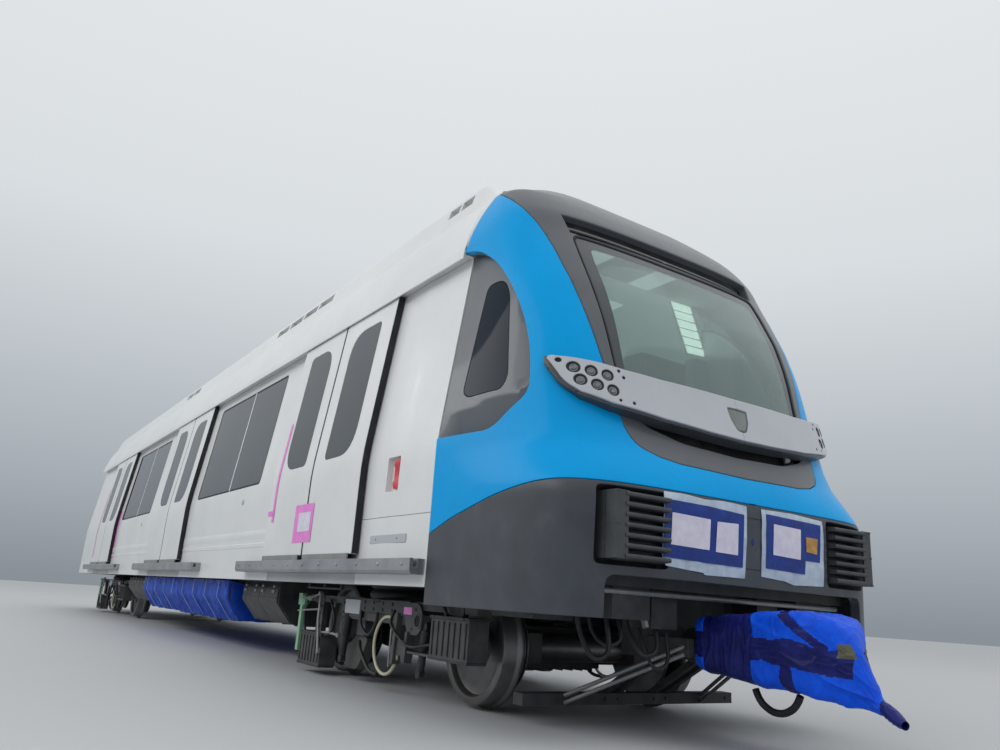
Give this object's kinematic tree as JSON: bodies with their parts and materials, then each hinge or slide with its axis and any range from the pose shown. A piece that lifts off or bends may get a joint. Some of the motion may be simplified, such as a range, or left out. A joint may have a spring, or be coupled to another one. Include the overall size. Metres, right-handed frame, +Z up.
{
  "type": "metro train cab car",
  "caption": "Light metro train end car with a raked glazed cab, plug-style sliding door pairs, side windows, bogies and a wrapped coupler, on wheels that roll.",
  "frame": {"origin": "middle of the car's overall box, on the plane that the wheel flanges stand on", "axes": "+X towards the cab, +Y to the car's left, +Z up"},
  "size_m": [17.64, 2.844, 3.6],
  "materials": {
    "white_paint": "gloss white paint over aluminium panels",
    "blue_paint": "high gloss sky blue paint over moulded panels",
    "grey_paint": "satin dark grey paint",
    "silver_paint": "satin silver grey paint",
    "slate_paint": "satin slate grey paint, dusty",
    "tinted_glass": "grey tinted safety glass",
    "screen_glass": "laminated windscreen, faint green edge tint",
    "black_panel": "dark glazing over the destination display",
    "dark_steel": "dark grey primer and paint, dusty",
    "wheel_steel": "rolled steel, thin rust, bright tread",
    "bellows_rubber": "folded rubberised fabric",
    "alloy": "mill finish aluminium covers",
    "blue_sheeting": "woven plastic sheeting, crumpled and taped",
    "seat_plastic": "moulded seat shells and grey floor"
  },
  "bodies": {
    "car_body": {"side_wall_left": "white_paint", "side_wall_right": "white_paint", "roof": "white_paint", "rear_end_wall": "white_paint", "cab_shell": "blue_paint", "windscreen_surround": "grey_paint", "quarter_panel_left": "grey_paint", "quarter_panel_right": "grey_paint", "lower_mask": "grey_paint", "lamp_band": "silver_paint", "cab_apron": "slate_paint", "apron_corner_left": "slate_paint", "apron_corner_right": "slate_paint", "anticlimber_left": "slate_paint", "anticlimber_right": "slate_paint", "windscreen": "screen_glass", "destination_window": "black_panel", "quarter_glass_left": "tinted_glass", "quarter_glass_right": "tinted_glass", "side_window_left_1": "tinted_glass", "side_window_left_2": "tinted_glass", "side_window_right_1": "tinted_glass", "side_window_right_2": "tinted_glass", "air_conditioner_front": "alloy", "air_conditioner_rear": "alloy", "underframe": "dark_steel", "saloon_floor": "seat_plastic", "gangway_bellows": "bellows_rubber", "rear_drawbar": "dark_steel", "coupler_bar": "dark_steel", "coupler_hose": "bellows_rubber", "coupler_wrap": "blue_sheeting", "guard_beam": "dark_steel", "traction_case": "dark_steel", "sheeted_case": "blue_sheeting", "auxiliary_case": "dark_steel"},
    "leaf_1_left_fore": {"door_1_left_fore": "white_paint"},
    "leaf_1_left_aft": {"door_1_left_aft": "white_paint"},
    "leaf_1_right_fore": {"door_1_right_fore": "white_paint"},
    "leaf_1_right_aft": {"door_1_right_aft": "white_paint"},
    "leaf_2_left_fore": {"door_2_left_fore": "white_paint"},
    "leaf_2_left_aft": {"door_2_left_aft": "white_paint"},
    "leaf_2_right_fore": {"door_2_right_fore": "white_paint"},
    "leaf_2_right_aft": {"door_2_right_aft": "white_paint"},
    "leaf_3_left_fore": {"door_3_left_fore": "white_paint"},
    "leaf_3_left_aft": {"door_3_left_aft": "white_paint"},
    "leaf_3_right_fore": {"door_3_right_fore": "white_paint"},
    "leaf_3_right_aft": {"door_3_right_aft": "white_paint"},
    "bogie_front": {"bogie_frame_front": "dark_steel", "bogie_bolster_front": "dark_steel"},
    "wheels_front_leading": {"wheelset_front_leading": "wheel_steel"},
    "wheels_front_trailing": {"wheelset_front_trailing": "wheel_steel"},
    "bogie_rear": {"bogie_frame_rear": "dark_steel", "bogie_bolster_rear": "dark_steel"},
    "wheels_rear_leading": {"wheelset_rear_leading": "wheel_steel"},
    "wheels_rear_trailing": {"wheelset_rear_trailing": "wheel_steel"}
  },
  "joints": [
    {"name": "slide_1_left_fore", "type": "slide", "parent": "car_body", "child": "leaf_1_left_fore", "axis": [1, 0, 0], "range_m": [0, 0.65]},
    {"name": "slide_1_left_aft", "type": "slide", "parent": "car_body", "child": "leaf_1_left_aft", "axis": [-1, 0, 0], "range_m": [0, 0.65]},
    {"name": "slide_1_right_fore", "type": "slide", "parent": "car_body", "child": "leaf_1_right_fore", "axis": [1, 0, 0], "range_m": [0, 0.65]},
    {"name": "slide_1_right_aft", "type": "slide", "parent": "car_body", "child": "leaf_1_right_aft", "axis": [-1, 0, 0], "range_m": [0, 0.65]},
    {"name": "slide_2_left_fore", "type": "slide", "parent": "car_body", "child": "leaf_2_left_fore", "axis": [1, 0, 0], "range_m": [0, 0.65]},
    {"name": "slide_2_left_aft", "type": "slide", "parent": "car_body", "child": "leaf_2_left_aft", "axis": [-1, 0, 0], "range_m": [0, 0.65]},
    {"name": "slide_2_right_fore", "type": "slide", "parent": "car_body", "child": "leaf_2_right_fore", "axis": [1, 0, 0], "range_m": [0, 0.65]},
    {"name": "slide_2_right_aft", "type": "slide", "parent": "car_body", "child": "leaf_2_right_aft", "axis": [-1, 0, 0], "range_m": [0, 0.65]},
    {"name": "slide_3_left_fore", "type": "slide", "parent": "car_body", "child": "leaf_3_left_fore", "axis": [1, 0, 0], "range_m": [0, 0.65]},
    {"name": "slide_3_left_aft", "type": "slide", "parent": "car_body", "child": "leaf_3_left_aft", "axis": [-1, 0, 0], "range_m": [0, 0.65]},
    {"name": "slide_3_right_fore", "type": "slide", "parent": "car_body", "child": "leaf_3_right_fore", "axis": [1, 0, 0], "range_m": [0, 0.65]},
    {"name": "slide_3_right_aft", "type": "slide", "parent": "car_body", "child": "leaf_3_right_aft", "axis": [-1, 0, 0], "range_m": [0, 0.65]},
    {"name": "yaw_front", "type": "hinge", "parent": "car_body", "child": "bogie_front", "pos_m": [5.4, 0, 0.56], "axis": [0, 0, 1], "range_deg": [-6, 6]},
    {"name": "roll_front_leading", "type": "hinge", "parent": "bogie_front", "child": "wheels_front_leading", "pos_m": [6.4, 0, 0.37477], "axis": [0, 1, 0], "continuous": true},
    {"name": "roll_front_trailing", "type": "hinge", "parent": "bogie_front", "child": "wheels_front_trailing", "pos_m": [4.4, 0, 0.37477], "axis": [0, 1, 0], "continuous": true},
    {"name": "yaw_rear", "type": "hinge", "parent": "car_body", "child": "bogie_rear", "pos_m": [-5.7, 0, 0.56], "axis": [0, 0, 1], "range_deg": [-6, 6]},
    {"name": "roll_rear_leading", "type": "hinge", "parent": "bogie_rear", "child": "wheels_rear_leading", "pos_m": [-4.7, 0, 0.37477], "axis": [0, 1, 0], "continuous": true},
    {"name": "roll_rear_trailing", "type": "hinge", "parent": "bogie_rear", "child": "wheels_rear_trailing", "pos_m": [-6.7, 0, 0.37477], "axis": [0, 1, 0], "continuous": true}
  ],
  "couplings": [
    {"joint": "slide_1_left_aft", "follows": "slide_1_left_fore", "ratio": 1},
    {"joint": "slide_1_right_aft", "follows": "slide_1_right_fore", "ratio": 1},
    {"joint": "slide_2_left_aft", "follows": "slide_2_left_fore", "ratio": 1},
    {"joint": "slide_2_right_aft", "follows": "slide_2_right_fore", "ratio": 1},
    {"joint": "slide_3_left_aft", "follows": "slide_3_left_fore", "ratio": 1},
    {"joint": "slide_3_right_aft", "follows": "slide_3_right_fore", "ratio": 1}
  ]
}
